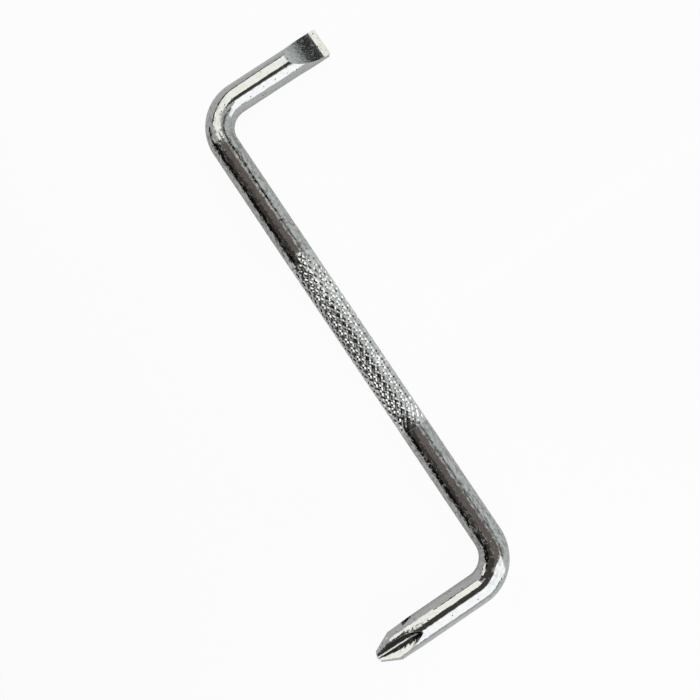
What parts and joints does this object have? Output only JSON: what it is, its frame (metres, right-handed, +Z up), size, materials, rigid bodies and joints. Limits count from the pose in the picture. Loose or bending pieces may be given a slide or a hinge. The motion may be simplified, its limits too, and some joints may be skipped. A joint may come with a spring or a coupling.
{
  "type": "offset screwdriver",
  "caption": "Z-shaped offset screwdriver bent from one round bar, with a slotted blade on one arm, a cross tip on the other and a knurled shaft.",
  "frame": {"origin": "middle of the outline on the plane the tool lies on", "axes": "+X along the shaft from the slotted bend to the cross bend, +Y the way the slotted arm points, +Z up from the plane the tool lies on"},
  "size_m": [0.1156, 0.0598, 0.006],
  "materials": {
    "chrome_bar": "polished bright chrome plate",
    "chrome_knurl": "chrome plate over a rolled diamond knurl",
    "chrome_ground": "chrome plate over fine grinding marks"
  },
  "bodies": {
    "root": {"slotted_blade": "chrome_ground", "slotted_arm": "chrome_bar", "slotted_bend": "chrome_bar", "slotted_shank": "chrome_bar", "knurled_grip": "chrome_knurl", "cross_shank": "chrome_bar", "cross_bend": "chrome_bar", "cross_arm": "chrome_bar", "cross_tip": "chrome_ground"}
  },
  "joints": []
}
